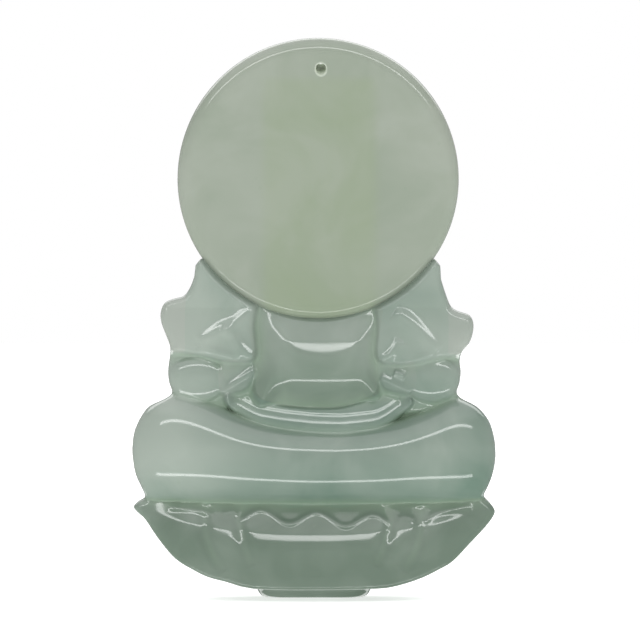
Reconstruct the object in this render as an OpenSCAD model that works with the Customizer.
// Carved jade plaque of a draped figure seated on a lotus, with a round halo.
// +Z is up, the figure faces -Y, and the origin is the centre of the foot's underside.
// Every node is one carved element. Relief elements stand on the flat faces of the halo and
// of the body core, and thin carved grooves keep them apart.

/* [Overall] */
// Height of the carving, from the foot to the top of the halo
carving_h = 60; // [58:0.5:62]
// Width across the pointed side petals
carving_w = 39; // [38:0.5:41]
// Height of the relief compared with the drawn design
relief = 1; // [0.8:0.05:1.1]

/* [Halo] */
// Radius of the halo disc
halo_r = 15.1; // [14.7:0.1:15.1]
// Thickness of the halo disc
halo_t = 3.6; // [3.2:0.1:4]
// Radius of the rounding along the halo's rim
halo_round = 0.8; // [0.4:0.1:1]
// How far the halo is carved off centre, towards the figure's right
halo_shift = 0.45; // [0:0.05:0.5]

/* [Stringing hole] */
// Diameter of the stringing hole
hole_d = 1.1; // [0.8:0.1:1.4]
// Distance from the top of the halo down to the hole's mouth in the back face
hole_drop = 3.6; // [3.2:0.1:4]
// Distance of the hole from the halo's centre line
hole_offset = 0.3; // [0:0.1:0.6]
// Angle at which the hole rises from the back face to the front face
hole_rise = 25; // [20:1:30]

/* [Body] */
// Thickness of the flat ground that carries the relief
core_t = 2; // [1.6:0.1:2.4]
// Length of the foot's flat underside, from side to side
foot_l = 11.6; // [10:0.2:12]
// Depth of the foot's flat underside, from front to back
foot_d = 5.2; // [4.4:0.2:6]

/* [Hidden] */

jade = [0.66, 0.72, 0.62];
jade_pale = [0.72, 0.77, 0.69];
jade_deep = [0.56, 0.65, 0.54];

// The outlines are drawn for a carving 60 high and 39 wide, and fitted to the size above.
kx = carving_w / 39;
kz = carving_h / 60;

halo_x = -halo_shift;
halo_z = carving_h - halo_r;
halo_back_y = 2.1;
halo_front_y = halo_back_y - halo_t;
core_face_y = core_t / 2;
foot_h = 1.4;

// Relief: height of the plain side wall under a crown, steps that round the crown over,
// steps between two outline points, and facets across a roll.
wall = 0.5;
crown_steps = 5;
curve_steps = 3;
roll_facets = 8;
fine = 96;

// ---- Smooth closed outlines through a few hand-placed points ----

function curve_point(a, b, c, d, t) =
    0.5 * (2 * b + (c - a) * t + (2 * a - 5 * b + 4 * c - d) * t * t
        + (3 * b - a - 3 * c + d) * t * t * t);

function smooth(points) = let (n = len(points)) [
    for (i = [0 : n - 1], s = [0 : curve_steps - 1])
        curve_point(points[(i + n - 1) % n], points[i], points[(i + 1) % n],
            points[(i + 2) % n], s / curve_steps)
];

function fitted(points) = [for (p = points) [p[0] * kx, p[1] * kz]];

function reversed(points) = [for (i = [len(points) - 1 : -1 : 0]) points[i]];

function flipped(points) = reversed([for (p = points) [-p[0], p[1]]]);

// A shape that is the same left and right, from its left half, bottom to top.
function both_sides(half) = concat(half, flipped(half));

function middle(points) = [for (p = points) 1] * points / len(points);

function oval(cx, cz, rx, rz, n = 10) = [
    for (i = [0 : n - 1]) [cx + rx * cos(360 * i / n), cz + rz * sin(360 * i / n)]
];

function arc_path(cx, cz, rx, rz, from, to, n) = [
    for (i = [0 : n])
        let (a = from + (to - from) * i / n)
        [cx + rx * cos(a), cz + rz * sin(a)]
];

// ---- Relief shapes: outline in XY, height along Z, flat underneath ----

// A pillow: a flat base, a short wall, and a crown that rounds over to its middle.
// Fullness under 1 gives a flatter top with rounder shoulders. Points run counter-clockwise.
module pillow(points, height, fullness = 0.75) {
    outline = smooth(fitted(points));
    n = len(outline);
    c = middle(outline);
    crown = height * relief - wall;
    rings = concat(
        [[for (p = outline) [p[0], p[1], 0]]],
        [for (k = [0 : crown_steps - 1])
            let (
                a = 90 * k / crown_steps,
                shrink = pow(cos(a), fullness),
                rise = wall + crown * pow(sin(a), fullness)
            )
            [for (p = outline) concat(c + (p - c) * shrink, rise)]]
    );
    vertices = concat([for (r = rings, p = r) p], [concat(c, wall + crown)]);
    last = len(rings) - 1;
    polyhedron(
        points = vertices,
        faces = concat(
            [[for (i = [0 : n - 1]) i]],
            [for (r = [0 : last - 1], i = [0 : n - 1])
                [r * n + i, (r + 1) * n + i, r * n + (i + 1) % n]],
            [for (r = [0 : last - 1], i = [0 : n - 1])
                [r * n + (i + 1) % n, (r + 1) * n + i, (r + 1) * n + (i + 1) % n]],
            [for (i = [0 : n - 1])
                [last * n + i, len(vertices) - 1, last * n + (i + 1) % n]]
        )
    );
}

// A rounded roll along a path, flat underneath, narrowing to the given share at its ends.
module roll(path, width, height, ends = 0.45) {
    points = fitted(path);
    last = len(points) - 1;
    m = roll_facets + 1;
    taper = function (i) ends + (1 - ends) * pow(sin(180 * (i + 0.2) / (last + 0.4)), 0.5);
    side = function (i)
        let (d = points[min(i + 1, last)] - points[max(i - 1, 0)])
        [-d[1], d[0]] / norm(d);
    vertices = [
        for (i = [0 : last], j = [0 : roll_facets])
            let (a = 180 * j / roll_facets, t = taper(i))
            concat(
                points[i] + side(i) * width / 2 * t * cos(a),
                height * relief * t * pow(sin(a), 0.8)
            )
    ];
    polyhedron(
        points = vertices,
        faces = concat(
            [for (i = [0 : last - 1], j = [0 : roll_facets - 1])
                [i * m + j, i * m + j + 1, (i + 1) * m + j]],
            [for (i = [0 : last - 1], j = [0 : roll_facets - 1])
                [i * m + j + 1, (i + 1) * m + j + 1, (i + 1) * m + j]],
            [for (i = [0 : last - 1]) [i * m, (i + 1) * m, (i + 1) * m + roll_facets]],
            [for (i = [0 : last - 1]) [i * m, (i + 1) * m + roll_facets, i * m + roll_facets]],
            [[for (j = [0 : roll_facets]) roll_facets - j]],
            [[for (j = [0 : roll_facets]) last * m + j]]
        )
    );
}

// Stand relief on a flat face that looks forward (-Y) or back (+Y).
module on_front(y = core_face_y) {
    translate([0, -y, 0])
        rotate([90, 0, 0])
            children();
}

module on_back(y = core_face_y) {
    mirror([0, 1, 0])
        on_front(y)
            children();
}

module on_halo() {
    translate([halo_x, 0, 0])
        on_front(-halo_front_y)
            children();
}

// ---- Halo, ground and foot ----

module halo_profile() {
    translate([0, halo_front_y])
        square([halo_r - halo_round, halo_t]);
    translate([0, halo_front_y + halo_round])
        square([halo_r, halo_t - 2 * halo_round]);
    for (y = [halo_round, halo_t - halo_round])
        translate([halo_r - halo_round, halo_front_y + y])
            circle(r = halo_round, $fn = fine);
}

module stringing_hole() {
    translate([halo_x - hole_offset, halo_back_y, carving_h - hole_drop])
        rotate([90 - hole_rise, 0, 0])
            translate([0, 0, -halo_t])
                cylinder(h = 3 * halo_t, d = hole_d, $fn = fine);
}

module halo_disc() {
    color(jade)
        difference() {
            translate([halo_x, 0, halo_z])
                rotate([-90, 0, 0])
                    rotate_extrude($fn = fine)
                        halo_profile();
            stringing_hole();
        }
}

// Lower silhouette of one side, from the foot up to the elbow.
lower_side = [
    [6, 1.3], [11.4, 2.4], [15.4, 4.9], [17.9, 7.9], [19.5, 9.5], [18.2, 10.8], [19, 12.6],
    [19.5, 15.8], [19.1, 18.4], [17.6, 20.5], [15.2, 21.6], [15.7, 23.6], [15.5, 26]
];
left_shoulder = [[16.2, 29.2], [16.5, 31], [15.6, 31.9], [13.9, 32.4], [13.2, 33.8], [12.2, 36]];
right_shoulder = [[16.6, 28], [17, 29.6], [16.4, 30.5], [14.7, 30.9], [13.9, 33.2], [12.8, 36]];

module body_core() {
    color(jade_deep)
        on_front(-core_face_y)
            linear_extrude(core_t)
                difference() {
                    polygon(fitted(concat(
                        lower_side, left_shoulder, flipped(right_shoulder), flipped(lower_side)
                    )));
                    translate([halo_x, halo_z])
                        circle(r = halo_r, $fn = fine);
                }
}

module foot_pad() {
    color(jade)
        linear_extrude(foot_h * kz) {
            square([foot_l - foot_d, foot_d], center = true);
            for (side = [-1, 1])
                translate([side * (foot_l - foot_d) / 2, 0])
                    circle(d = foot_d, $fn = fine);
        }
}

// ---- Back of the figure. Points run counter-clockwise, for the figure's left (+X) ----

panel_half = [[3, 20.6], [5.8, 22], [6.4, 25], [6.4, 28.4], [6, 30.8], [3, 29.9]];
sleeve = [
    [9, 26.5], [12.2, 27.2], [13.9, 27.6], [13.8, 30], [13.3, 32.6], [12.2, 35.3],
    [9.6, 32.8], [6.9, 31.2], [6.8, 28.6], [7.2, 26.6]
];
left_scarf = [[15.4, 27.2], [16.3, 29.6], [16.4, 31], [15.6, 31.8], [14.2, 32], [14, 30], [14.3, 27.7]];
right_scarf = [
    [15.6, 26.8], [16.6, 28.2], [16.9, 29.7], [16.3, 30.4], [14.8, 30.8], [14, 29.6], [14.3, 27.7]
];
elbow = [
    [12.8, 21.9], [15.1, 21.9], [15.6, 23.6], [15.5, 25.6], [15, 26.8], [12.6, 26.7], [10.7, 26],
    [10.7, 22]
];
cuff = [[8.4, 22.2], [10.3, 22.2], [10.3, 25.9], [7.2, 26.1], [6.8, 23.6]];
sash_path = arc_path(0, 24.6, 9.3, 5.8, 208, 332, 12);
seat_half = [
    [4, 10.4], [12, 10.6], [17.8, 11.2], [19.1, 14], [19.3, 17], [18.2, 19.8], [15.4, 21.3],
    [11.6, 21.4], [8.6, 18.4], [4.4, 16.8]
];

module back_panel() {
    color(jade_deep) on_back() pillow(both_sides(panel_half), 2.4);
}

module back_sash() {
    color(jade) on_back() roll(sash_path, 3, 3);
}

module seat_roll() {
    color(jade) on_back() pillow(both_sides(seat_half), 4);
}

module left_sleeve() {
    color(jade) on_back() pillow(sleeve, 2.6);
}

module right_sleeve() {
    color(jade) on_back() pillow(flipped(sleeve), 2.6);
}

module left_scarf_end() {
    color(jade_pale) on_back() pillow(left_scarf, 1.8);
}

module right_scarf_end() {
    color(jade_pale) on_back() pillow(flipped(right_scarf), 1.8);
}

module left_elbow_fold() {
    color(jade) on_back() pillow(elbow, 2.6);
}

module right_elbow_fold() {
    color(jade) on_back() pillow(flipped(elbow), 2.6);
}

module left_cuff_fold() {
    color(jade_pale) on_back() pillow(cuff, 2.6);
}

module right_cuff_fold() {
    color(jade_pale) on_back() pillow(flipped(cuff), 2.6);
}

// ---- Lotus petals, the same on the front and the back ----

petal_middle_half = [[3, 1.5], [5.6, 2], [7.2, 4.6], [8.1, 8], [7, 9.6], [4.4, 9.3], [2.4, 9]];
petal_inner = [
    [8.4, 2.5], [11, 4.4], [12.2, 7.6], [11.4, 9.6], [9.4, 9.9], [8.4, 9], [7.7, 5.4], [6.3, 2.2]
];
petal_outer = [
    [12.4, 3.4], [15.4, 5.3], [17.7, 7.9], [19.2, 9.5], [16, 10.2], [12.7, 9.6], [12.4, 6.6], [10, 3]
];

module petal(points, height) {
    color(jade_pale) pillow(points, height);
}

module petal_back_center() { on_back() petal(both_sides(petal_middle_half), 3.4); }
module petal_back_inner_left() { on_back() petal(petal_inner, 3.1); }
module petal_back_inner_right() { on_back() petal(flipped(petal_inner), 3.1); }
module petal_back_left() { on_back() petal(petal_outer, 2.6); }
module petal_back_right() { on_back() petal(flipped(petal_outer), 2.6); }
module petal_front_center() { on_front() petal(both_sides(petal_middle_half), 3.4); }
module petal_front_inner_left() { on_front() petal(petal_inner, 3.1); }
module petal_front_inner_right() { on_front() petal(flipped(petal_inner), 3.1); }
module petal_front_left() { on_front() petal(petal_outer, 2.6); }
module petal_front_right() { on_front() petal(flipped(petal_outer), 2.6); }

// ---- Front of the figure ----

collar_half = [[3.4, 31.6], [6.2, 32.4], [8.6, 33.9], [6.4, 34.6], [3.4, 33.2]];
chest_half = [[3.6, 24.8], [6.8, 26.2], [6.8, 28.6], [6.2, 30.8], [3.4, 29.8]];
upper_arm = [
    [11, 26.4], [14.6, 26.6], [15.8, 28.8], [15.7, 31], [13.9, 32.3], [12.2, 35.3],
    [9.6, 32.8], [7.1, 31.3], [7.2, 28.6], [7.6, 26.6]
];
forearm_path = [[14.6, 24.2], [12.8, 24.5], [11, 24.4], [9.2, 24], [7.6, 23.3], [6.2, 22.5], [5, 21.6]];
hand = [[0.3, 19.2], [3, 19], [4, 20.6], [3.4, 22.6], [2, 23.8], [0.3, 23.6]];
leg = [
    [4.8, 11.6], [12, 10.6], [17.8, 11.2], [19.1, 14], [19.3, 17], [18.2, 19.8], [14.6, 21.8],
    [9.6, 21], [5.4, 18.8], [0.4, 18.6], [0.4, 14.4]
];
fall_half = [[2, 10.4], [4.2, 10.6], [4.2, 11.4], [1.4, 13.4]];

module head() {
    color(jade_pale) on_halo() pillow(oval(0, 40.5, 3.8, 5.1), 3.5, 0.9);
}

module hair_cap() {
    color(jade_deep) on_halo() roll(arc_path(0, 41, 5.2, 6.7, 20, 160, 14), 2.4, 3, 0.6);
}

module hair_knot() {
    color(jade_deep) on_halo() pillow(oval(0, 52.5, 2.9, 3.1), 2.6, 0.9);
}

module left_ear() {
    color(jade_pale) on_halo() pillow(oval(4.8, 39.4, 0.7, 2, 8), 1.6, 0.9);
}

module right_ear() {
    color(jade_pale) on_halo() pillow(oval(-4.8, 39.4, 0.7, 2, 8), 1.6, 0.9);
}

module neck() {
    color(jade_pale) on_halo() pillow(both_sides([[1.2, 33.6], [2.2, 34], [2.6, 35.2], [1.2, 35.2]]), 2);
}

module robe_collar() {
    color(jade) on_halo() pillow(both_sides(collar_half), 2.4);
}

module robe_chest() {
    color(jade) on_front() pillow(both_sides(chest_half), 3);
}

module left_upper_arm() {
    color(jade) on_front() pillow(upper_arm, 2.8);
}

module right_upper_arm() {
    color(jade) on_front() pillow(flipped(upper_arm), 2.8);
}

module left_forearm() {
    color(jade) on_front() roll(forearm_path, 3.2, 3);
}

module right_forearm() {
    color(jade) on_front() roll(flipped(forearm_path), 3.2, 3);
}

module left_hand() {
    color(jade_pale) on_front() pillow(hand, 3.6);
}

module right_hand() {
    color(jade_pale) on_front() pillow(flipped(hand), 3.6);
}

module left_leg() {
    color(jade) on_front() pillow(leg, 4);
}

module right_leg() {
    color(jade) on_front() pillow(flipped(leg), 4);
}

module robe_fall() {
    color(jade_pale) on_front() pillow(both_sides(fall_half), 3.4);
}

halo_disc();
body_core();
foot_pad();
back_panel();
back_sash();
seat_roll();
left_sleeve();
right_sleeve();
left_scarf_end();
right_scarf_end();
left_elbow_fold();
right_elbow_fold();
left_cuff_fold();
right_cuff_fold();
petal_back_center();
petal_back_inner_left();
petal_back_inner_right();
petal_back_left();
petal_back_right();
head();
hair_cap();
hair_knot();
left_ear();
right_ear();
neck();
robe_collar();
robe_chest();
left_upper_arm();
right_upper_arm();
left_forearm();
right_forearm();
left_hand();
right_hand();
left_leg();
right_leg();
robe_fall();
petal_front_center();
petal_front_inner_left();
petal_front_inner_right();
petal_front_left();
petal_front_right();
